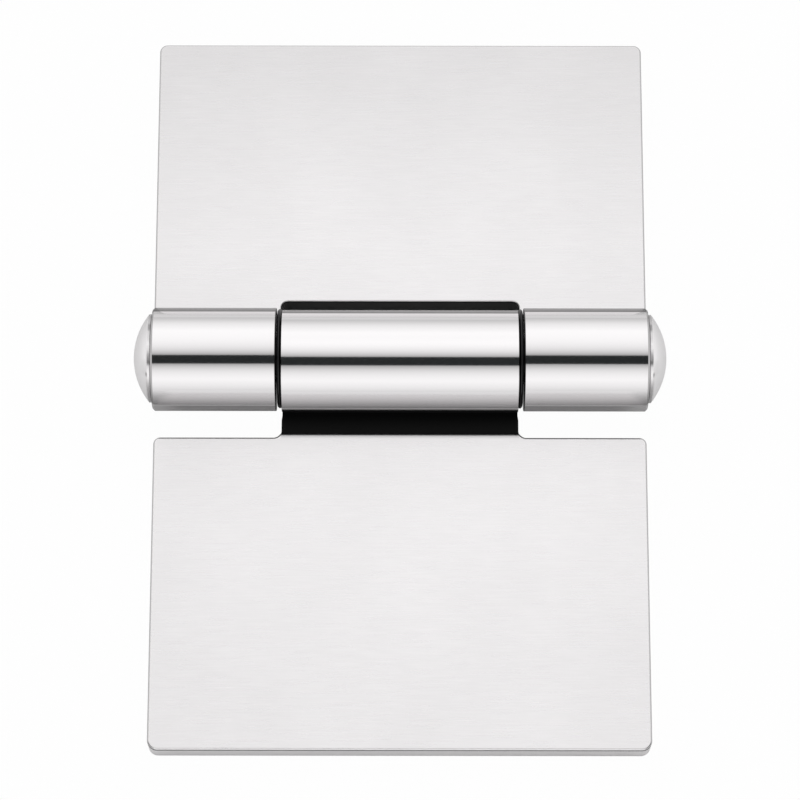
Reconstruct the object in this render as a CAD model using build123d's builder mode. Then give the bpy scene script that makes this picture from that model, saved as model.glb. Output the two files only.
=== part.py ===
# Stainless steel lorry hinge with two plain leaves, to be welded or bonded on by their backs.
# The upper leaf carries the two outer knuckles and the pin. The lower leaf carries the centre knuckle
# on a neck, with a flanged bush in each end of it, on which the pin turns.
#
# Millimetres. The pin runs along X. The leaves lie open in the XY plane with their backs on Z = 0: the upper
# leaf towards +Y and the lower leaf towards -Y. The origin is on the back, under the middle of the pin.

import os

from build123d import *

os.makedirs("parts", exist_ok=True)

# Leaves
leaf_width = 100.0          # upper leaf
lower_trim = 0.33           # lower leaf narrower, on each side
leaf_thickness = 6.0
upper_reach = 69.85         # pin axis to the upper leaf's far edge
lower_reach = 79.25         # pin axis to the lower leaf's far edge
upper_corner = 1.6          # plan radii of the corners
lower_corner = 2.0
shoulder_corner = 1.4
edge_round = 0.4            # broken edge all round both faces

# Barrel
knuckle_dia = 20.8          # outer knuckles
centre_dia = 20.6
back_grind = 0.1            # ground off the knuckles, so that they are flush with the leaves' backs
centre_length = 47.5        # centre knuckle
outer_shift = 0.2           # the castings' outsides lie a little off the bore, towards the lower leaf
centre_shift = 0.55
barrel_inset = 0.28         # leaf side to the end of the barrel
end_bevel = 0.4             # outer ends of the barrel
knuckle_bevel = 0.1         # ends that face a bush flange

# Room for the other leaf
notch_edge = 13.5           # pin axis to the upper leaf's notch
notch_side_gap = 0.4        # notch side to the end of the centre knuckle
notch_corner = 1.4
web_reach = 10.4            # pin axis to where the upper leaf is as narrow as its knuckles
web_taper = 0.9             # length of the short slope to its full width
shoulder_edge = 15.25       # pin axis to the lower leaf's shoulders
neck_spread = 0.15          # neck wider than its knuckle, on each side
neck_slope = 1.0            # length over which it widens
neck_corner = 1.6
neck_relief = 0.6           # depth of the neck's face below the leaf's face
neck_relief_edge = 14.5     # pin axis to the step between the two faces

# Pin and heads
pin_dia = 10.0
head_dia = 17.8
head_rim = 0.75             # straight side of a head
dome_height = 3.15
head_bevel = 0.25           # edge of the rim that faces the barrel
pin_end = 2.4               # pin past the barrel, inside the cap
pin_end_chamfer = 0.5

# Bushes
bush_wall = 1.0
bush_length = 16.0
flange_dia = 20.0
flange_thickness = 0.8
flange_bevel = 0.25

# Fits
running_fit = 0.05          # radial, pin in bush
fixed_fit = 0.02            # radial, between pieces that are pressed together
flange_gap = 0.3            # bush flange to outer knuckle
cap_gap = 0.1               # end of the pin to the bottom of the cap

# Places that follow from the sizes
knuckle_radius = knuckle_dia / 2
centre_radius = centre_dia / 2
axis_height = knuckle_radius - back_grind
pin_radius = pin_dia / 2
bush_radius = pin_radius + running_fit + bush_wall
head_radius = head_dia / 2
leaf_side = leaf_width / 2
lower_side = leaf_side - lower_trim
barrel_end = leaf_side - barrel_inset
centre_end = centre_length / 2
outer_start = centre_end + flange_thickness + flange_gap
outer_length = barrel_end - outer_start
notch_side = centre_end + notch_side_gap
neck_side = centre_end + neck_spread
taper_end = web_reach + web_taper
pin_axis = Axis((0, 0, axis_height), (1, 0, 0))
match = 0.01                # how near an edge or corner has to be to count as on a line


def on_line(items, axis, place):
    return items.filter_by_position(axis, place - match, place + match)


# Upper leaf: the plate and the two webs under its knuckles are one outline
with BuildPart() as upper_leaf:
    with BuildSketch(Plane.XY) as upper_outline:
        with BuildLine():
            Polyline(
                (0, notch_edge),
                (notch_side, notch_edge),
                (notch_side, taper_end),
                (outer_start, web_reach),
                (outer_start, 0),
                (barrel_end, 0),
                (barrel_end, web_reach),
                (leaf_side, taper_end),
                (leaf_side, upper_reach),
                (0, upper_reach),
                close=True,
            )
        make_face()
        mirror(about=Plane.YZ)
        fillet(on_line(upper_outline.vertices(), Axis.Y, upper_reach), upper_corner)
        fillet(on_line(upper_outline.vertices(), Axis.Y, notch_edge), notch_corner)
    extrude(amount=leaf_thickness)
    fillet(upper_leaf.edges().filter_by(Plane.XY), edge_round)

    # Outer knuckles, round bars with the larger bevel at the ends of the barrel
    for side in (-1, 1):
        with BuildSketch(Plane.XZ.offset(outer_shift)) as knuckle:
            with Locations((side * (outer_start + outer_length / 2), axis_height)):
                Rectangle(outer_length, knuckle_radius, align=(Align.CENTER, Align.MIN))
            crest = knuckle.vertices().group_by(Axis.Y)[-1].sort_by(lambda corner: abs(corner.X))
            chamfer(crest[0], knuckle_bevel)
            chamfer(crest[1], end_bevel)
        revolve(axis=Axis((0, -outer_shift, axis_height), (1, 0, 0)))
    split(bisect_by=Plane.XY, keep=Keep.TOP)

    # Bore that holds the pin
    with BuildSketch(Plane.YZ):
        with Locations((0, axis_height)):
            Circle(pin_radius + fixed_fit)
    extrude(amount=barrel_end, both=True, mode=Mode.SUBTRACT)


# Lower leaf: the plate and its neck are one outline
with BuildPart() as lower_leaf:
    with BuildSketch(Plane.XY) as lower_outline:
        with BuildLine():
            Polyline(
                (0, 0),
                (centre_end, 0),
                (centre_end, -knuckle_radius),
                (neck_side, -knuckle_radius - neck_slope),
                (neck_side, -shoulder_edge),
                (lower_side, -shoulder_edge),
                (lower_side, -lower_reach),
                (0, -lower_reach),
                close=True,
            )
        make_face()
        mirror(about=Plane.YZ)
        fillet(on_line(lower_outline.vertices(), Axis.Y, -lower_reach), lower_corner)
        shoulders = on_line(lower_outline.vertices(), Axis.Y, -shoulder_edge)
        fillet(shoulders.sort_by(lambda corner: abs(corner.X))[:2], neck_corner)
        shoulders = on_line(lower_outline.vertices(), Axis.Y, -shoulder_edge)
        fillet(shoulders.sort_by(lambda corner: abs(corner.X))[-2:], shoulder_corner)
    extrude(amount=leaf_thickness)

    # The neck's face lies a little below the leaf's face
    with BuildSketch(Plane.XY.offset(leaf_thickness)):
        with Locations((0, -neck_relief_edge)):
            Rectangle(leaf_width, neck_relief_edge, align=(Align.CENTER, Align.MIN))
    extrude(amount=-neck_relief, mode=Mode.SUBTRACT)
    neck_face = leaf_thickness - neck_relief
    backs = lower_leaf.edges().filter_by(Plane.XY).group_by(Axis.Z)[0]
    fronts = lower_leaf.edges().filter_by(Plane.XY).group_by(Axis.Z)[-1]
    neck_rim = on_line(lower_leaf.edges().filter_by(Plane.XY), Axis.Z, neck_face)
    fillet(backs + fronts + neck_rim.filter_by(Axis.X, reverse=True), edge_round)

    # Centre knuckle
    with BuildSketch(Plane.XZ.offset(centre_shift)) as knuckle:
        with Locations((0, axis_height)):
            Rectangle(centre_length, centre_radius, align=(Align.CENTER, Align.MIN))
        chamfer(knuckle.vertices().group_by(Axis.Y)[-1], knuckle_bevel)
    revolve(axis=Axis((0, -centre_shift, axis_height), (1, 0, 0)))
    split(bisect_by=Plane.XY, keep=Keep.TOP)

    # Bore that holds the bushes
    with BuildSketch(Plane.YZ):
        with Locations((0, axis_height)):
            Circle(bush_radius + fixed_fit)
    extrude(amount=centre_end, both=True, mode=Mode.SUBTRACT)


# Pin, with one domed head turned on it
dome_start = barrel_end + head_rim
apex = dome_start + dome_height

with BuildPart() as hinge_pin:
    with BuildSketch(Plane.XZ) as profile:
        with BuildLine():
            TangentArc((-apex, axis_height), (-dome_start, axis_height + head_radius), tangent=(0, 1))
            Polyline(
                (-dome_start, axis_height + head_radius),
                (-barrel_end, axis_height + head_radius),
                (-barrel_end, axis_height + pin_radius),
                (barrel_end + pin_end, axis_height + pin_radius),
                (barrel_end + pin_end, axis_height),
                (-apex, axis_height),
            )
        make_face()
        rim = profile.vertices().group_by(Axis.Y)[-1].sort_by(lambda corner: abs(corner.X))
        chamfer(rim[0], head_bevel)
    revolve(axis=pin_axis)
    chamfer(hinge_pin.edges().filter_by(GeomType.CIRCLE).group_by(Axis.X)[-1], pin_end_chamfer)


# Cap, pressed on the pin's other end
with BuildPart() as pin_cap:
    with BuildSketch(Plane.XZ) as profile:
        with BuildLine():
            TangentArc((apex, axis_height), (dome_start, axis_height + head_radius), tangent=(0, 1))
            Polyline(
                (dome_start, axis_height + head_radius),
                (barrel_end, axis_height + head_radius),
                (barrel_end, axis_height + pin_radius + fixed_fit),
                (barrel_end + pin_end + cap_gap, axis_height + pin_radius + fixed_fit),
                (barrel_end + pin_end + cap_gap, axis_height),
                (apex, axis_height),
            )
        make_face()
        rim = profile.vertices().group_by(Axis.Y)[-1].sort_by(lambda corner: abs(corner.X))
        chamfer(rim[0], head_bevel)
    revolve(axis=pin_axis)


# Flanged bushes, one pressed into each end of the centre knuckle
bush_bore = axis_height + pin_radius + running_fit
flange_depth = flange_dia / 2 - pin_radius - running_fit
bushes = {}
for name, side in (("bush_left", -1), ("bush_right", 1)):
    with BuildPart() as bush:
        with BuildSketch(Plane.XZ) as profile:
            with Locations((side * (centre_end - bush_length / 2), bush_bore)):
                Rectangle(bush_length, bush_wall, align=(Align.CENTER, Align.MIN))
            with Locations((side * (centre_end + flange_thickness / 2), bush_bore)):
                Rectangle(flange_thickness, flange_depth, align=(Align.CENTER, Align.MIN))
            chamfer(profile.vertices().group_by(Axis.Y)[-1], flange_bevel)
        revolve(axis=pin_axis)
    bushes[name] = bush


upper_leaf.part.label = "upper_leaf"
lower_leaf.part.label = "lower_leaf"
hinge_pin.part.label = "hinge_pin"
pin_cap.part.label = "pin_cap"
export_step(upper_leaf.part, "parts/upper_leaf.step")
export_step(lower_leaf.part, "parts/lower_leaf.step")
export_step(hinge_pin.part, "parts/hinge_pin.step")
export_step(pin_cap.part, "parts/pin_cap.step")
for name, bush in bushes.items():
    bush.part.label = name
    export_step(bush.part, f"parts/{name}.step")
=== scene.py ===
# %% [markdown]
# # A lorry hinge in brushed and polished stainless steel
#
# The hinge is the weld-on kind: two plain plates, a round barrel between them and a pin through the barrel.
# Its exact shapes come from the construction model, which is loaded here as a fixed frame. What is made in
# this script is what the eye judges next: the light, the camera and the finish of every piece.
#
# All lengths are metres. The pin runs along X, the upper leaf lies towards +Y, the lower leaf towards -Y,
# and the backs of both leaves lie on z = 0.

# %% Load the frame
import math

import bpy
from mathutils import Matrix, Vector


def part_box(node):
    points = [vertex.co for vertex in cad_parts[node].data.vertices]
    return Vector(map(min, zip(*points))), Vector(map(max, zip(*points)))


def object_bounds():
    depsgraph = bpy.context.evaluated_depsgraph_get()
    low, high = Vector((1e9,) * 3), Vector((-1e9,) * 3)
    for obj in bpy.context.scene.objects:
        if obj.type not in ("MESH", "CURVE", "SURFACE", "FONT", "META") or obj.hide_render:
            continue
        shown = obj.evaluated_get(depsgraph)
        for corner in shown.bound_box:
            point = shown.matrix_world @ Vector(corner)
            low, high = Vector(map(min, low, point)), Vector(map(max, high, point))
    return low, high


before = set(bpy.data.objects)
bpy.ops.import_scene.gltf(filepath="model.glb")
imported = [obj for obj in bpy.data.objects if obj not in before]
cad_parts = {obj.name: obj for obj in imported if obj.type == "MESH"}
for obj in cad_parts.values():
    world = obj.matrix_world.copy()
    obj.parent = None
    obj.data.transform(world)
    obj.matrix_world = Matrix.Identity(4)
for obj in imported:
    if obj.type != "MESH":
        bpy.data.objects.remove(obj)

scene = bpy.context.scene
mm = 0.001
cad_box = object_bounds()

# %% [markdown]
# ## Sizes that the finishes need
#
# Each leaf is one piece of steel that changes finish from place to place: brushed on its face, polished on
# its knuckles, black in the narrow places round the centre knuckle. The shader has to know where those
# places are, and it can find out from the position on the piece. The sizes are read from the boxes of the
# nodes wherever a box gives them, so they follow the construction model. The others are lengths of that
# model.

# %% Measure the nodes
barrel_inset = 0.28 * mm
leaf_thickness = 6.0 * mm

upper_low, upper_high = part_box("upper_leaf")
lower_low, lower_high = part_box("lower_leaf")
bush_low, bush_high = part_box("bush_right")

axis_height = (bush_low[2] + bush_high[2]) / 2
outer_radius = upper_high[2] - axis_height
outer_shift = -upper_low[1] - outer_radius
centre_radius = lower_high[2] - axis_height
centre_shift = centre_radius - lower_high[1]
barrel_end = upper_high[0] - barrel_inset
print(f"axis {axis_height / mm:.2f} mm up, outer knuckles {outer_radius / mm:.2f} mm in radius,"
      f" centre knuckle {centre_radius / mm:.2f} mm and {centre_shift / mm:.2f} mm off the axis")
print(f"leaves reach from {lower_low[1] / mm:.1f} to {upper_high[1] / mm:.1f} mm across the pin")

# %% [markdown]
# ## Helpers for node trees
#
# Shader graphs are long when every node takes three lines. The first helper makes one node, sets its
# options, and fills its inputs either with a value or with a link from another node's output. The others
# are the few sums that all the finishes are made of, so reading a material below is reading a list of
# steps.

# %% Node helpers
def add(tree, kind, inputs=None, **options):
    node = tree.nodes.new(kind)
    for name, value in options.items():
        setattr(node, name, value)
    for key, value in (inputs or {}).items():
        if isinstance(value, bpy.types.NodeSocket):
            tree.links.new(value, node.inputs[key])
        else:
            node.inputs[key].default_value = value
    return node


def split(tree, vector):
    return add(tree, "ShaderNodeSeparateXYZ", {0: vector}).outputs


def maths(tree, operation, first, second=0.0):
    return add(tree, "ShaderNodeMath", {0: first, 1: second}, operation=operation).outputs[0]


def product(tree, first, *others):
    for other in others:
        first = maths(tree, "MULTIPLY", first, other)
    return first


def distance(tree, value, centre=0.0):
    return maths(tree, "ABSOLUTE", maths(tree, "SUBTRACT", value, centre))


def beyond(tree, value, limit, centre=0.0):
    past = maths(tree, "SUBTRACT", distance(tree, value, centre), limit)
    return maths(tree, "MAXIMUM", past, 0.0)


def length(tree, *sides):
    vector = add(tree, "ShaderNodeCombineXYZ", dict(enumerate(sides))).outputs[0]
    return add(tree, "ShaderNodeVectorMath", {0: vector}, operation="LENGTH").outputs["Value"]


print("helpers for sums and distances are ready")

# %% [markdown]
# ## Helpers for soft masks
#
# A finish is a mask and two values: here this tone, there that one. A mask with a hard edge looks printed,
# so every mask here rises smoothly over a short way. The helpers below make such rises and windows, and
# blend two values or two colours by a mask.

# %% Mask helpers
def ramp(tree, value, start, end, low=0.0, high=1.0, kind="SMOOTHSTEP"):
    inputs = {"Value": value, "From Min": start, "From Max": end, "To Min": low, "To Max": high}
    return add(tree, "ShaderNodeMapRange", inputs, interpolation_type=kind).outputs["Result"]


def fall(tree, value, start, end):
    return ramp(tree, value, start, end, 1.0, 0.0)


def linear(tree, value, start, end, low, high):
    return ramp(tree, value, start, end, low, high, "LINEAR")


def inside(tree, value, low, high, edge=0.05 * mm):
    above = ramp(tree, value, low - edge, low + edge)
    return product(tree, above, fall(tree, value, high - edge, high + edge))


def blend(tree, factor, first, second):
    return add(tree, "ShaderNodeMix", {0: factor, 6: first, 7: second}, data_type="RGBA").outputs[2]


def blend_value(tree, factor, first, second):
    return add(tree, "ShaderNodeMix", {0: factor, 2: first, 3: second}, data_type="FLOAT").outputs[0]


print("helpers for masks are ready")

# %% [markdown]
# ## The camera
#
# The picture is taken from almost straight above, about 17 degrees towards the lower leaf's side, with a
# long lens: opposite edges of the leaves stay nearly parallel. The place and the lens were found by fitting
# the leaf corners and the barrel's outline in the photograph, so the picture needs no shift.

# %% Camera
camera_place = (0.0, -0.2250, 0.7178)
camera_tilt = math.radians(17.0)
camera_roll = math.radians(0.08)
lens = 165.8
sensor_width = 36.0

camera_data = bpy.data.cameras.new("camera")
camera_data.lens = lens
camera_data.sensor_width = sensor_width
camera = bpy.data.objects.new("camera", camera_data)
camera.location = camera_place
camera.rotation_mode = "ZXY"
camera.rotation_euler = (camera_tilt, 0.0, camera_roll)
scene.collection.objects.link(camera)
scene.camera = camera
scene.view_settings.view_transform = "Standard"
print(f"camera {camera_place[2] * 1000:.0f} mm up, lens {lens} mm")

# %% [markdown]
# ## The room's light
#
# Polished steel has hardly any look of its own: it shows the room. A photographer lights a bright barrel
# with two long soft boxes, one on each side of the camera, and the camera with its black card in between
# draws the dark stripe along the barrel. Real area lamps would do, but they are noisy in a mirror. The
# world can hold the same picture as a formula: how bright the room is at each angle round the pin, measured
# from straight up.
#
# The dark card covers a narrow band, and the light dies away softly towards it on both sides. Far along the
# pin the card ends, so the heads of the pin mirror a bright room.

# %% Room round the card
degrees = 180 / math.pi
card_middle = -17.3
card_half = 9.55
card_soft = 0.5
card_level = 0.062
card_ends = (0.90, 0.98)
past_card_level = 0.9
valley_depth = 0.66
valley_spread = 14.5

world = bpy.data.worlds.new("studio")
world.use_nodes = True
scene.world = world
tree = world.node_tree
tree.nodes.clear()

parts = split(tree, add(tree, "ShaderNodeTexCoord").outputs["Generated"])
angle = product(tree, maths(tree, "ARCTAN2", parts["Y"], parts["Z"]), degrees)
beside_card = beyond(tree, angle, card_half, card_middle)
fade = maths(tree, "EXPONENT", maths(tree, "DIVIDE", beside_card, -valley_spread))
valley = maths(tree, "SUBTRACT", 1.0, product(tree, fade, valley_depth))
off_card = distance(tree, angle, card_middle)
card = ramp(tree, off_card, card_half - card_soft, card_half + card_soft, card_level, 1.0)
past_card = ramp(tree, distance(tree, parts["X"]), *card_ends)
middle_room = blend_value(tree, past_card, product(tree, valley, card), past_card_level)
print(f"dark card {2 * card_half:.1f} degrees wide at {card_middle} degrees from straight up")

# %% [markdown]
# ## The horizon and the white ground behind
#
# A room is a little dimmer near the horizon, where the soft boxes end. That turns the flanks of the barrel
# grey and gives it its roundness. The little light that is left on the dark card is slightly blue, as
# shadows in a white room are.
#
# The camera itself sees plain white behind the hinge. Light Path tells its rays from the others, so the
# white background lights nothing. A picture of a studio could hold all of this too, but a formula needs no
# file and has no pixels that a mirror could show.

# %% Horizon and world
room_white = 1.24
north_start = 50.0
south_start = 63.0
horizon = 90.0
horizon_north = 0.66
horizon_south = 0.74
dark_levels = (0.02, 0.2)
card_tint = (0.88, 0.98, 1.0, 1.0)
plain_white = (1.0, 1.0, 1.0, 1.0)


def seen_directly(tree):
    light_path = add(tree, "ShaderNodeLightPath").outputs
    return maths(tree, "MAXIMUM", light_path["Is Camera Ray"], light_path["Is Transmission Ray"])


north = linear(tree, angle, north_start, horizon, 1.0, horizon_north)
south = linear(tree, angle, -horizon, -south_start, horizon_south, 1.0)
brightness = product(tree, middle_room, north, south, room_white)
level = blend_value(tree, seen_directly(tree), brightness, 1.0)
tint = blend(tree, fall(tree, brightness, *dark_levels), plain_white, card_tint)
background = add(tree, "ShaderNodeBackground", {"Color": tint, "Strength": level})
add(tree, "ShaderNodeOutputWorld", {"Surface": background.outputs[0]})
print("world", world.name, "with", len(tree.nodes), "nodes")

# %% [markdown]
# ## The floor
#
# The hinge lies on a plain white ground. One large square just under the backs of the leaves is enough: the
# small drop keeps the two from lying in the same plane, which would flicker. It is a plain mesh, not a
# solid.

# %% Floor
floor_half = 1.5
floor_drop = 0.3 * mm

floor_mesh = bpy.data.meshes.new("floor")
corner_signs = ((-1, -1), (1, -1), (1, 1), (-1, 1))
corners = [(x * floor_half, y * floor_half, -floor_drop) for x, y in corner_signs]
floor_mesh.from_pydata(corners, [], [(0, 1, 2, 3)])
floor = bpy.data.objects.new("floor", floor_mesh)
scene.collection.objects.link(floor)
print(f"floor {2 * floor_half:.0f} m square, {floor_drop / mm} mm under the hinge's back")

# %% [markdown]
# ## The floor's paper
#
# To the camera the ground is white paper with only a breath of shadow on it, and to the steel it is a
# bright floor that darkens where the hinge shades it. One matt white material does both, and Light Path
# tells who is asking. A camera ray goes almost straight through to the white behind it, so that a leaf
# which is swung below the ground still shows. A mirror ray sees mostly white, but less and less of it near
# the hinge. Every other ray meets the matt floor, which keeps the shadow. Two floors, one for the eye and
# one for the steel, could do the same, but one material keeps the whole idea in one place.

# %% Floor paper
floor_white = 0.75
fibre_scale = 900.0
fibre_detail = 2.0
fibre_levels = (0.3, 0.7)
fibre_contrast = 0.01
camera_share = 0.98
mirror_near = 0.1
mirror_far = 0.9
mirror_reach = 45 * mm


def start_material(name):
    material = bpy.data.materials.new(name)
    material.use_nodes = True
    material.node_tree.nodes.clear()
    return material, material.node_tree


def noise(tree, place, scale=1.0, detail=0.0):
    inputs = {"Vector": place, "Scale": scale, "Detail": detail}
    return add(tree, "ShaderNodeTexNoise", inputs).outputs["Fac"]


paper, tree = start_material("floor_paper")
place = add(tree, "ShaderNodeTexCoord").outputs["Object"]
fibre = noise(tree, place, fibre_scale, fibre_detail)
tone = ramp(tree, fibre, *fibre_levels, floor_white - fibre_contrast, floor_white + fibre_contrast)
matt = add(tree, "ShaderNodeBsdfDiffuse", {"Color": tone}).outputs[0]
white = add(tree, "ShaderNodeEmission", {"Strength": 1.0}).outputs[0]
clear = add(tree, "ShaderNodeBsdfTransparent").outputs[0]

parts = split(tree, place)
past_sides = beyond(tree, parts["X"], cad_box[1][0])
past_ends = beyond(tree, parts["Y"], -cad_box[0][1])
away = length(tree, past_sides, past_ends)
mirror_share = linear(tree, away, 0.0, mirror_reach, mirror_near, mirror_far)
glossy = add(tree, "ShaderNodeLightPath").outputs["Is Glossy Ray"]
mirrored = add(tree, "ShaderNodeMixShader", {0: product(tree, glossy, mirror_share), 1: matt, 2: white})
to_camera = product(tree, seen_directly(tree), camera_share)
shown = add(tree, "ShaderNodeMixShader", {0: to_camera, 1: mirrored.outputs[0], 2: clear})
add(tree, "ShaderNodeOutputMaterial", {"Surface": shown.outputs[0]})
floor_mesh.materials.append(paper)
print("floor is finished in", paper.name)

# %% [markdown]
# ## Grain, the effect that every piece shares
#
# A brushed face is thousands of hair-fine scratches, all along one direction, a few millimetres long and a
# fraction of a millimetre wide. They come in bundles a few times wider than one scratch, and slow clouds of
# tone lie over them from one pass of the belt to the next. The turned pieces have the same kind of marks
# round their axis, only finer. Noise that is stretched along the scratches gives both, and the same noise
# again, about five times wider and half as long, gives the bundles. It is built once as a group: the
# material says how long and how wide its scratches are. A picture of brushed steel would have to be laid
# out on every piece and would repeat. Noise follows the position and never does.

# %% Grain group
line_levels = (0.1, 0.9)
slow_levels = (0.2, 0.8)
bundle_stretch = (2.0, 0.19, 0.19)
bundle_share = 0.385
origin = (0.0, 0.0, 0.0)


def new_group(name, asked, answered):
    group = bpy.data.node_groups.new(name, "ShaderNodeTree")
    for socket, value in asked.items():
        kind = "NodeSocketVector" if isinstance(value, tuple) else "NodeSocketFloat"
        group.interface.new_socket(name=socket, in_out="INPUT", socket_type=kind).default_value = value
    for socket in answered:
        group.interface.new_socket(name=socket, in_out="OUTPUT", socket_type="NodeSocketFloat")
    return group, add(group, "NodeGroupInput").outputs


grain, given = new_group(
    "hairline_grain",
    {"Position": origin, "Line length": 8.0 * mm, "Line width": 0.3 * mm, "Cloud size": 14.0 * mm},
    ["Lines", "Clouds"],
)
parts = split(grain, given["Position"])
along = maths(grain, "DIVIDE", parts["X"], given["Line length"])
wide = maths(grain, "DIVIDE", parts["Y"], given["Line width"])
high = maths(grain, "DIVIDE", parts["Z"], given["Line width"])
stretched = add(grain, "ShaderNodeCombineXYZ", {0: along, 1: wide, 2: high}).outputs[0]
bundle_place = add(grain, "ShaderNodeVectorMath", {0: stretched, 1: bundle_stretch}, operation="MULTIPLY")
clouds = noise(grain, given["Position"], maths(grain, "DIVIDE", 1.0, given["Cloud size"]))
slow = blend_value(grain, bundle_share, clouds, noise(grain, bundle_place.outputs[0]))
add(grain, "NodeGroupOutput", {
    "Lines": linear(grain, noise(grain, stretched), *line_levels, 0.0, 1.0),
    "Clouds": linear(grain, slow, *slow_levels, 0.0, 1.0),
})
print("group", grain.name, "with", len(grain.nodes), "nodes")

# %% [markdown]
# ## Round the pin
#
# Everything on a barrel follows the angle round its axis: which part of the room it mirrors, how far the
# polishing wheel reached, where the plate begins. So the finishes ask three things of a place: how far it
# is turned from straight up, how far it lies from the axis, and how far out along the pin. The outsides of
# the knuckles lie a little off the pin, and the offset moves the axis with them. A texture that is unrolled
# onto the barrel could carry the same marks, but it would have to be laid out again for each knuckle and
# each build of the model.

# %% Places round the pin
def round_pin(tree, place, offset=0.0):
    parts = split(tree, place)
    out = maths(tree, "ADD", parts["Y"], offset)
    up = maths(tree, "SUBTRACT", parts["Z"], axis_height)
    turn = product(tree, maths(tree, "ARCTAN2", out, up), degrees)
    return turn, length(tree, out, up), distance(tree, parts["X"])


print(f"places are measured round an axis {axis_height / mm:.2f} mm up")

# %% [markdown]
# ## The polished barrel
#
# The knuckles of both leaves are mirror polished all round. Both leaves need this, each with its own roots
# and with its outside a little off the pin, so it is a group. It answers how bright the steel is painted at
# each angle: a painted highlight on the crest, painted shade on the flanks, a painted glint before the upper
# root, and painted shade that deepens towards the lower root, where the barrel faces the shadowed gap. It
# also says where the barrel ends and the plate begins, from the distance to the axis. The mirrored room
# alone could shape the barrel, but then it looks like chromed glass: the painted light and shade by angle
# carry the rest.

# %% Barrel group, polish and painted light
plate_from = (0.05 * mm, 0.15 * mm)
crest_turns = (-20.0, 6.0)
crest_soft = 5.0
flank_turns, flank_tone = (24.2, 37.2), 0.82
glint_turns, glint_tone = (40.2, 42.7), 1.27
south_turns, south_tone = (-81.0, -47.8), 0.38

barrel, given = new_group(
    "barrel_polish_and_painted_light",
    {"Position": origin, "Radius": 10.4 * mm, "Offset": 0.0, "North root": 50.0, "North end": 180.0,
     "South root": -80.0, "Edge line": -82.0, "Crest tone": 1.0},
    ["Plate", "Tone", "Root", "Shade band", "Shade band tone"],
)
turn, radius, far_out = round_pin(barrel, given["Position"], given["Offset"])
off_barrel = ramp(barrel, maths(barrel, "SUBTRACT", radius, given["Radius"]), *plate_from)
# Painted light by angle: shade on the flanks, a glint, shade towards the lower root, a highlight on the
# crest.
flank = ramp(barrel, turn, *flank_turns, 1.0, flank_tone)
glint = ramp(barrel, turn, *glint_turns, 1.0, glint_tone)
south = ramp(barrel, turn, *south_turns, south_tone, 1.0)
crest = blend_value(barrel, inside(barrel, turn, *crest_turns, crest_soft), 1.0, given["Crest tone"])
print("polish: crest", crest_turns, "flank", flank_turns, "glint", glint_turns, "degrees round the pin")

# %% [markdown]
# ## The barrel's roots and ends
#
# At the roots of the knuckles, where they meet the plate, the barrel mirrors shade. On the upper side that
# is a darker and slightly rougher band of painted shade. On the lower side the barrel is painted a flat
# grey, the painted reflection of the shadowed gap under it, with a lighter line that is a painted reflection
# of the lower leaf's edge, and the grey gets lighter towards the ends of the barrel. The same ends are worn
# a little rough, so they blur what they mirror. Strips of faces with materials of their own could show all
# this, but their borders would be hard and would follow the mesh. A mask in degrees is soft and stays in
# place when the mesh changes.

# %% Barrel group, roots and ends
root_shade_tone = 0.24
north_soft = 1.0
north_end_soft = 8.0
south_soft = 0.5
edge_line_half = 1.2
edge_line_soft = 0.5
shade_band_low_tone = 0.24
shade_band_end_tone = 0.36
edge_line_tone = 0.42
shade_band_end_place = (43 * mm, 49 * mm)
wear_place, wear_turns, wear_tone = (45 * mm, 48 * mm), (-58.0, -48.0), 0.97

from_north = maths(barrel, "SUBTRACT", turn, given["North root"])
from_north_end = maths(barrel, "SUBTRACT", turn, given["North end"])
from_south = maths(barrel, "SUBTRACT", turn, given["South root"])
from_edge_line = maths(barrel, "SUBTRACT", turn, given["Edge line"])
# The upper root band is painted shade: a darker tone over the polish.
north_begins = ramp(barrel, from_north, 0.0, north_soft)
north_root = product(barrel, north_begins, fall(barrel, from_north_end, 0.0, north_end_soft))
end_wear = product(barrel, ramp(barrel, far_out, *wear_place), fall(barrel, turn, *wear_turns))
worn = blend_value(barrel, end_wear, 1.0, wear_tone)
# The lower band is painted shade, grey that lightens towards the ends, with a painted reflection as a light
# line.
shade_band_low = ramp(barrel, far_out, *shade_band_end_place, shade_band_low_tone, shade_band_end_tone)
edge_line = inside(barrel, from_edge_line, -edge_line_half, edge_line_half, edge_line_soft)
root_shade = blend_value(barrel, north_root, 1.0, root_shade_tone)
add(barrel, "NodeGroupOutput", {
    "Plate": off_barrel,
    "Tone": product(barrel, flank, glint, south, worn, crest, root_shade),
    "Root": maths(barrel, "MAXIMUM", north_root, end_wear),
    "Shade band": fall(barrel, from_south, -south_soft, south_soft),
    "Shade band tone": blend_value(barrel, edge_line, shade_band_low, edge_line_tone),
})
print("group", barrel.name, "with", len(barrel.nodes), "nodes")

# %% [markdown]
# ## The brushed face
#
# A belt brushes the faces of the plates and leaves the grain's lines and clouds. Over that lies painted
# light
# and shade: the face darkens slowly along Y, more on one leaf than on the other, and a little towards its
# sides and towards the barrel. Slow changes like these are hardly seen, but without them a large flat sheet
# looks like paper. They could be painted on an image, but they are so slow that a straight ramp for each is
# enough, and a ramp can be read and changed.

# %% Plate group, face
face_tone = 0.885
face_rough = (0.265, 0.295)
line_contrast = 0.03
cloud_contrast = 0.023
side_middle = 5 * mm
side_reach = (25 * mm, 55 * mm)
side_tone = 0.965
lower_reach = (-34 * mm, -15 * mm)
lower_near_tone = 0.977
upper_near_tone = 0.995
upper_from = (0.0, 1 * mm)

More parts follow.
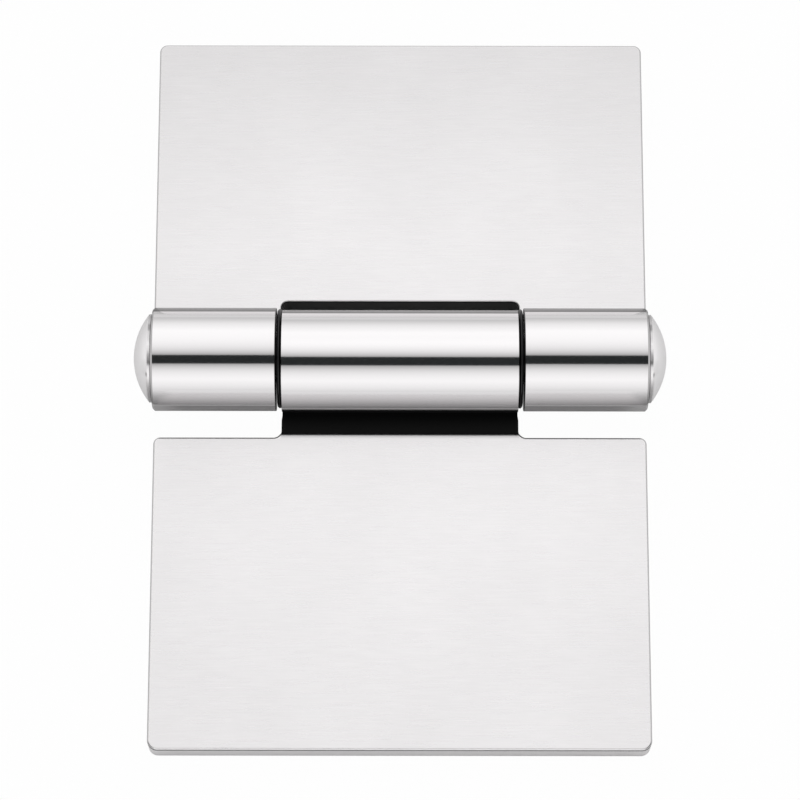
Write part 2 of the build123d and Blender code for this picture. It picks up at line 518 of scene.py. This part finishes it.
plate, given = new_group(
    "brushed_plate_and_painted_light",
    {"Position": origin, "Normal": (0.0, 0.0, 1.0), "Lines": 0.5, "Clouds": 0.5,
     "Fade start": 0.0, "Fade end": 1.0, "Start tone": 1.0, "End tone": 1.0},
    ["Tone", "Roughness"],
)
parts = split(plate, given["Position"])
line_tone = linear(plate, given["Lines"], 0.0, 1.0, 1 - line_contrast, 1 + line_contrast)
cloud_tone = linear(plate, given["Clouds"], 0.0, 1.0, 1 - cloud_contrast, 1 + cloud_contrast)
# Painted light: the face darkens along Y, towards its sides and towards the barrel.
painted_falloff = linear(plate, parts["Y"], given["Fade start"], given["Fade end"],
                 given["Start tone"], given["End tone"])
to_sides = linear(plate, distance(plate, parts["X"], side_middle), *side_reach, 1.0, side_tone)
lower_near = linear(plate, parts["Y"], *lower_reach, 1.0, lower_near_tone)
near_barrel = blend_value(plate, ramp(plate, parts["Y"], *upper_from), lower_near, upper_near_tone)
brushing = product(plate, line_tone, cloud_tone)
face = product(plate, brushing, painted_falloff, to_sides, near_barrel, face_tone)
face_gloss = linear(plate, given["Lines"], 0.0, 1.0, *face_rough)
print(f"face: lines change its tone by {line_contrast:.1%}, clouds by {cloud_contrast:.1%}")

# %% [markdown]
# ## The plate's edges, walls and back
#
# The edges are broken with a small round, which mirrors another part of the room than the face does and so
# draws a thin line round each leaf. The round's tone is also painted by the way it faces, as painted light
# and shade: full at the front, darker at the far side and darker still at the sides. The cut walls below
# them are duller and painted darker towards the floor, as painted shade, and at the front, just under the
# round, a dark line of painted shade runs along the wall. The back was never brushed, so it stays grey and
# rough.
# The direction in which the surface faces tells face, round, wall and back apart, so no line has to be
# placed by hand.

# %% Plate group, edges
front_edge_tone = 1.0
back_edge_tone = 0.57
side_edge_tone = 0.47
wall_low_tone = 0.76
wall_high_tone = 0.90
wall_rise = 2.5 * mm
shade_line_tone = 0.12
shade_line_low, shade_line_high = leaf_thickness - 0.85 * mm, leaf_thickness - 0.2 * mm
shade_line_soft = 0.1 * mm
edge_rough = 0.12
front_edge_rough = 0.55
wall_rough = 0.3
back_tone = 0.62
back_rough = 0.42
edge_flatness = (0.95, 0.995)
wall_flatness = (0.15, 0.35)
sideways_facing = (0.1, 0.25)
back_edge_facing = (-0.1, -0.05)
front_facing = (-0.25, -0.1)
shade_line_facing = (-0.6, -0.4)
back_facing = (-0.9, -0.6)

facing = split(plate, given["Normal"])
flatness = distance(plate, facing["Z"])
on_edge = fall(plate, flatness, *edge_flatness)
on_wall = fall(plate, flatness, *wall_flatness)
on_back = fall(plate, facing["Z"], *back_facing)
sideways = ramp(plate, distance(plate, facing["X"]), *sideways_facing)

# The round's tone by the way it faces is painted light and shade.
front_or_back = ramp(plate, facing["Y"], *back_edge_facing, front_edge_tone, back_edge_tone)
edge = blend_value(plate, sideways, front_or_back, side_edge_tone)
# The walls are painted darker towards the floor, as painted shade.
wall = ramp(plate, parts["Z"], 0.0, wall_rise, wall_low_tone, wall_high_tone)
front_tone = blend_value(plate, on_wall, blend_value(plate, on_edge, face, edge), wall)
# A dark line of painted shade runs along the front wall under the round.
shade_line_band = inside(plate, parts["Z"], shade_line_low, shade_line_high, shade_line_soft)
shade_line = product(plate, shade_line_band, fall(plate, facing["Y"], *shade_line_facing))
tone = blend_value(plate, on_back, blend_value(plate, shade_line, front_tone, shade_line_tone),
                   product(plate, brushing, back_tone))

square_on = product(plate, fall(plate, facing["Y"], *front_facing), maths(plate, "SUBTRACT", 1.0, sideways))
edge_gloss = blend_value(plate, square_on, edge_rough, front_edge_rough)
front_gloss = blend_value(plate, on_wall, blend_value(plate, on_edge, face_gloss, edge_gloss), wall_rough)
gloss = blend_value(plate, on_back, front_gloss, back_rough)
add(plate, "NodeGroupOutput", {"Tone": tone, "Roughness": gloss})
print("group", plate.name, "with", len(plate.nodes), "nodes")

# %% [markdown]
# ## The black places
#
# The notch and the neck round the centre knuckle are so narrow that the steel there only mirrors more steel
# in shadow, again and again, and turns black. Few light bounces reach such a place in a render, so a mask
# paints what the real one shows. The notch is black up to just below the upper leaf's face. The neck is
# black up to the knuckle, and the shadow thins out over the first millimetre of the lower leaf's face.

# %% Masks for the black places
notch_edge = 13.5 * mm
notch_half = 24.15 * mm
neck_edge = 14.5 * mm
neck_half = 23.9 * mm

notch_top = leaf_thickness - 0.08 * mm
notch_bottom = -1 * mm
notch_start, notch_stop = outer_radius + 0.6 * mm, notch_edge + 0.25 * mm
notch_side = notch_half + 0.15 * mm
neck_side = neck_half + 0.2 * mm
knuckle_side = -centre_radius - centre_shift
shadow_start, shadow_full, shadow_most = -neck_edge - 1.15 * mm, -neck_edge + 0.45 * mm, 0.62
neck_start, neck_stop = -neck_edge - 1.3 * mm, knuckle_side + 0.5 * mm
neck_low, neck_high = leaf_thickness - 1.2 * mm, leaf_thickness + 0.1 * mm
face_start, face_full = leaf_thickness - 0.3 * mm, leaf_thickness - 0.2 * mm
root_high, root_soft = axis_height + 0.2 * mm, 0.1 * mm
root_start, root_stop = knuckle_side - 0.1 * mm, knuckle_side + 2 * mm


def notch_black(tree, place):
    parts = split(tree, place)
    deep = inside(tree, parts["Z"], notch_bottom, notch_top)
    near = inside(tree, parts["Y"], notch_start, notch_stop)
    return product(tree, deep, near, inside(tree, parts["X"], -notch_side, notch_side))


def neck_black(tree, place):
    parts = split(tree, place)
    shadow = ramp(tree, parts["Y"], shadow_start, shadow_full, 0.0, shadow_most)
    depth = blend_value(tree, ramp(tree, parts["Z"], face_start, face_full), 1.0, shadow)
    low = inside(tree, parts["Z"], neck_low, neck_high)
    neck = product(tree, depth, inside(tree, parts["Y"], neck_start, neck_stop), low)
    beside = inside(tree, parts["Y"], root_start, root_stop)
    root = product(tree, inside(tree, parts["Z"], neck_low, root_high, root_soft), beside)
    return product(tree, maths(tree, "MAXIMUM", neck, root), inside(tree, parts["X"], -neck_side, neck_side))


print(f"black in the notch from {notch_start / mm:.1f} to {notch_stop / mm:.1f} mm from the pin")

# %% [markdown]
# ## The colour of a knuckle
#
# The polish isn't the same everywhere on a knuckle. The bevel at the barrel's outer ends is a little
# dimmer, and the ends that face a bush are shut in between two walls of steel, where hardly any light
# comes. The direction of the surface finds the bevel and the end faces, and the distance along the pin
# tells the outer ends from the ones at the bushes. The steel is slightly warm, so every tone is multiplied
# with one hue.

# %% Knuckle colour
steel_hue = (1.0, 0.982, 0.989)
polish_tone = 0.80
bevel_share = 0.58
bevel_facing, bevel_place = (0.3, 0.5), (40 * mm, 41 * mm)
hidden_tone = (0.02, 0.02, 0.02, 1.0)
hidden_place = (26 * mm, 27 * mm)
hidden_soft = 0.15


def coloured(tree, tone):
    return add(tree, "ShaderNodeVectorMath", {0: steel_hue, "Scale": tone}, operation="SCALE").outputs[0]


def knuckle_colour(tree, place, normal, knuckle, end_facing, end_shade):
    endwise = distance(tree, split(tree, normal)["X"])
    far_out = distance(tree, split(tree, place)["X"])
    outer_bevel = product(tree, ramp(tree, endwise, *bevel_facing), ramp(tree, far_out, *bevel_place))
    bevel = blend_value(tree, outer_bevel, 1.0, bevel_share)
    shine = coloured(tree, product(tree, knuckle["Tone"], polish_tone, bevel))
    ground = blend(tree, knuckle["Shade band"], shine, coloured(tree, knuckle["Shade band tone"]))
    hidden = product(tree, ramp(tree, endwise, end_facing, end_facing + hidden_soft),
                     fall(tree, far_out, *hidden_place))
    shut_in = maths(tree, "MAXIMUM", hidden, inside(tree, far_out, *end_shade))
    return blend(tree, shut_in, ground, hidden_tone)


print("knuckles keep", polish_tone, "of the light, their outer bevels", bevel_share, "of that")

# %% [markdown]
# ## The steel of a leaf
#
# Each leaf is one piece of steel, so it gets one material that joins the finishes: the polish up to where
# the barrel meets the plate, the brushing beyond it, and the black places over both. The band at the lower
# root is painted shade: there the steel is no mirror but a flat grey that is not metal, and it stands for
# the shadowed gap that the barrel mirrors.
#
# Brushing spreads a highlight across the scratches. That is what anisotropy does, with its tangent laid
# along the pin, so the face mirrors the room as a soft even sheen instead of as a picture.

# %% Leaf material
polish_rough = 0.07
root_rough = 0.25
shade_band_metal = 0.0
black_tone = (0.004, 0.004, 0.004, 1.0)
black_rough = 0.38
scratch_strength, scratch_depth = 0.02, 0.02 * mm
brushed_spread = 0.6
dull_sheen = 0.1


def bump(tree, height, strength, depth):
    inputs = {"Height": height, "Strength": strength, "Distance": depth}
    return add(tree, "ShaderNodeBump", inputs).outputs[0]


def leaf_steel(name, barrel_inputs, plate_inputs, end_facing, end_shade, black_place):
    material, tree = start_material(name)
    coords = add(tree, "ShaderNodeTexCoord").outputs
    place, normal = coords["Object"], coords["Normal"]
    marks = add(tree, "ShaderNodeGroup", {"Position": place}, node_tree=grain).outputs
    knuckle = add(tree, "ShaderNodeGroup", {"Position": place, **barrel_inputs}, node_tree=barrel).outputs
    sheet = add(tree, "ShaderNodeGroup", {
        "Position": place, "Normal": normal, "Lines": marks["Lines"], "Clouds": marks["Clouds"],
        **plate_inputs,
    }, node_tree=plate).outputs
    black = black_place(tree, place)
    bare = maths(tree, "SUBTRACT", 1.0, black)

    polished = knuckle_colour(tree, place, normal, knuckle, end_facing, end_shade)
    steel = blend(tree, knuckle["Plate"], polished, coloured(tree, sheet["Tone"]))

    polished_gloss = blend_value(tree, knuckle["Root"], polish_rough, root_rough)
    steel_gloss = blend_value(tree, knuckle["Plate"], polished_gloss, sheet["Roughness"])
    # The lower root band is painted shade, a flat grey that is not metal.
    shade_band = product(tree, knuckle["Shade band"], maths(tree, "SUBTRACT", 1.0, knuckle["Plate"]))
    depth = product(tree, marks["Lines"], knuckle["Plate"])
    scratches = bump(tree, depth, scratch_strength, scratch_depth)
    surface = add(tree, "ShaderNodeBsdfPrincipled", {
        "Base Color": blend(tree, black, steel, black_tone),
        "Roughness": blend_value(tree, black, steel_gloss, black_rough),
        "Metallic": product(tree, bare, blend_value(tree, shade_band, 1.0, shade_band_metal)),
        "Normal": scratches,
        "Tangent": add(tree, "ShaderNodeTangent", direction_type="RADIAL", axis="X").outputs[0],
        "Anisotropic": brushed_spread,
        "Specular IOR Level": dull_sheen,
    })
    add(tree, "ShaderNodeOutputMaterial", {"Surface": surface.outputs[0]})
    return material


print("leaf steel: polish", polish_tone, "with a roughness of", polish_rough)

# %% [markdown]
# ## The two leaves
#
# The leaves differ only in places: how far off the pin their knuckles lie, at which angles the polish and
# the painted shade end, how the painted light fades over the face, and which place is black. The centre
# knuckle's crest also carries a painted highlight. On the lower leaf the painted shade at the upper root
# ends early, at 73 degrees, so the knuckle further round the pin stays polished. Two materials written out
# in full would hide how much they share. One function that takes the places shows it.

# %% Finish the leaves
def dress(node, material):
    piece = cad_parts[node]
    piece.data.materials.clear()
    piece.data.materials.append(material)
    print(node, "is finished in", material.name)


upper_steel = leaf_steel(
    "upper_leaf_steel",
    {"Radius": outer_radius, "Offset": outer_shift, "North root": 49.2, "North end": 180.0,
     "South root": -78.3, "Edge line": -79.4, "Crest tone": 1.0},
    {"Fade start": 26 * mm, "Fade end": 74 * mm, "Start tone": 0.950, "End tone": 0.795},
    end_facing=0.3, end_shade=(24 * mm, 25.01 * mm), black_place=notch_black,
)
lower_steel = leaf_steel(
    "lower_leaf_steel",
    {"Radius": centre_radius, "Offset": centre_shift, "North root": 50.7, "North end": 73.0,
     "South root": -79.7, "Edge line": -84.3, "Crest tone": 1.07},
    {"Fade start": -80 * mm, "Fade end": -20 * mm, "Start tone": 0.998, "End tone": 0.996},
    end_facing=0.8, end_shade=(23.69 * mm, 24.5 * mm), black_place=neck_black,
)
dress("upper_leaf", upper_steel)
dress("lower_leaf", lower_steel)

# %% [markdown]
# ## Painted shade and reflections on the pin's heads
#
# Both ends of the barrel carry the same low dome, turned and polished. Near the barrel it is painted darker:
# the lower side of the rim carries the barrel's shade as painted shade, its upper side is dimmer too, a
# patch of the dome on its lower side is a little dimmer, and a few short dark marks are painted reflections
# of the barrel's edge in the rim. All of them are places round the pin, so they are windows in angle and in
# distance from the barrel's end. Each painted reflection is a row of a table. The render mirrors the
# barrel's edge too, but that edge is cleaner than the real one, so the painted reflections are laid over
# what it mirrors.

# %% Painted shade and reflections on the heads
rim_end = barrel_end + 0.75 * mm
rim_soft = 0.05 * mm
rim_tone = 0.92
upper_rim_share = 0.68
upper_rim_turns = (-5.0, 12.0)
dome_tone = 0.85
dip_share = 0.9
dip_turns, dip_soft, dip_place = (-42.0, -20.0), 4.0, (1.2 * mm, 2.6 * mm)
shaded_share = 0.5
shaded_turns, shaded_place = (-60.0, -36.0), (0.6 * mm, 1.2 * mm)
edge_reflection_share = 0.38
reflection_turn_soft, reflection_place_soft = 3.0, 0.12 * mm
# Each row is a painted reflection of the barrel's edge, a dark mark on the rim.
edge_reflections = (  # turn from and to, distance from the barrel's end from and to, strength
    (21.0, 33.0, -1.0 * mm, 0.65 * mm, 0.7),
    (-25.5, -20.0, -1.0 * mm, 0.7 * mm, 1.0),
    (-41.0, -37.0, 0.7 * mm, 1.05 * mm, 1.0),
)

pin_steel, tree = start_material("pin_steel")
place = add(tree, "ShaderNodeTexCoord").outputs["Object"]
turn, radius, far_out = round_pin(tree, place)
past_barrel = maths(tree, "SUBTRACT", far_out, barrel_end)
on_rim = fall(tree, far_out, rim_end - rim_soft, rim_end)
# The lower side of the rim near the barrel is painted shade.
shade = product(tree, fall(tree, past_barrel, *shaded_place), fall(tree, turn, *shaded_turns))
dip = product(tree, inside(tree, turn, *dip_turns, dip_soft), fall(tree, past_barrel, *dip_place))
edge_reflected = 0.0
for turn_from, turn_to, place_from, place_to, strength in edge_reflections:
    window = inside(tree, turn, turn_from, turn_to, reflection_turn_soft)
    spot = inside(tree, past_barrel, place_from, place_to, reflection_place_soft)
    edge_reflected = maths(tree, "MAXIMUM", edge_reflected, product(tree, window, spot, strength))
print(len(edge_reflections), "nicks on the rim of each head")

# %% [markdown]
# ## The polish of the heads
#
# Turning leaves rings, so the grain's lines run round the axis: the shader gives the group the distance
# from the pin as its width and nothing as its length, which turns straight scratches into rings. The pin's
# shank is the same piece as its head, but what shows of it in the gaps beside the bushes lies deep in
# shadow, so it is dark there.

# %% Domed heads
rim_rough = 0.36
dome_rough = (0.09, 0.14)
ring_width, ring_clouds = 0.25 * mm, 8.0 * mm
ring_tones = (0.985, 1.01)
ring_strength, ring_depth = 0.02, 0.01 * mm

parts = split(tree, place)
unrolled = add(tree, "ShaderNodeCombineXYZ", {1: radius, 2: parts["X"]}).outputs[0]
rings = add(tree, "ShaderNodeGroup", {
    "Position": unrolled, "Line width": ring_width, "Cloud size": ring_clouds,
}, node_tree=grain).outputs
dome = blend_value(tree, dip, dome_tone, dome_tone * dip_share)
rim = ramp(tree, turn, *upper_rim_turns, rim_tone, rim_tone * upper_rim_share)
tone = product(
    tree,
    linear(tree, rings["Lines"], 0.0, 1.0, *ring_tones),
    blend_value(tree, on_rim, dome, rim),
    blend_value(tree, shade, 1.0, shaded_share),
    blend_value(tree, edge_reflected, 1.0, edge_reflection_share),
)
buried = fall(tree, far_out, *hidden_place)
dome_gloss = linear(tree, rings["Clouds"], 0.0, 1.0, *dome_rough)
surface = add(tree, "ShaderNodeBsdfPrincipled", {
    "Base Color": blend(tree, buried, coloured(tree, tone), hidden_tone),
    "Roughness": blend_value(tree, on_rim, dome_gloss, rim_rough),
    "Metallic": 1.0,
    "Normal": bump(tree, rings["Lines"], ring_strength, ring_depth),
})
add(tree, "ShaderNodeOutputMaterial", {"Surface": surface.outputs[0]})
dress("hinge_pin", pin_steel)
dress("pin_cap", pin_steel)

# %% [markdown]
# ## The bushes
#
# Only the rims of the two black bushes show, as dark rings between the knuckles. They are an oily, slightly
# shiny plastic, so the rim picks up a soft grey line from the room. Beside the centre knuckle and low on
# the barrel the rim lies in a crevice, and there its shade is painted black. The same rings of grain, very
# faint, keep it from looking like paint. A plain black would do from far away, but close by it would look
# like a hole.

# %% Bushes
crevice_end = 24.20 * mm
crevice_before, crevice_after = 0.1 * mm, 0.05 * mm
low_turns = (-66.0, -56.0)
crevice_tone = (0.008, 0.008, 0.008, 1.0)
plastic_dark = (0.010, 0.010, 0.011, 1.0)
plastic_light = (0.018, 0.018, 0.020, 1.0)
plastic_rough = (0.34, 0.46)
plastic_ring_width, plastic_clouds = 0.15 * mm, 5.0 * mm
plastic_ring_strength, plastic_ring_depth = 0.1, 0.02 * mm

bush_plastic, tree = start_material("bush_plastic")
place = add(tree, "ShaderNodeTexCoord").outputs["Object"]
turn, radius, far_out = round_pin(tree, place)
parts = split(tree, place)
turned = add(tree, "ShaderNodeCombineXYZ", {0: parts["Y"], 1: parts["X"], 2: parts["X"]}).outputs[0]
rings = add(tree, "ShaderNodeGroup", {
    "Position": turned, "Line width": plastic_ring_width, "Cloud size": plastic_clouds,
}, node_tree=grain).outputs
# Painted shade: the crevice beside the centre knuckle and the low side of the rim are painted black.
beside_knuckle = fall(tree, far_out, crevice_end - crevice_before, crevice_end + crevice_after)
crevice = maths(tree, "MAXIMUM", beside_knuckle, fall(tree, turn, *low_turns))
plastic = blend(tree, rings["Clouds"], plastic_dark, plastic_light)
surface = add(tree, "ShaderNodeBsdfPrincipled", {
    "Base Color": blend(tree, crevice, plastic, crevice_tone),
    "Metallic": crevice,
    "Roughness": linear(tree, rings["Lines"], 0.0, 1.0, *plastic_rough),
    "Normal": bump(tree, rings["Lines"], plastic_ring_strength, plastic_ring_depth),
})
add(tree, "ShaderNodeOutputMaterial", {"Surface": surface.outputs[0]})
dress("bush_left", bush_plastic)
dress("bush_right", bush_plastic)
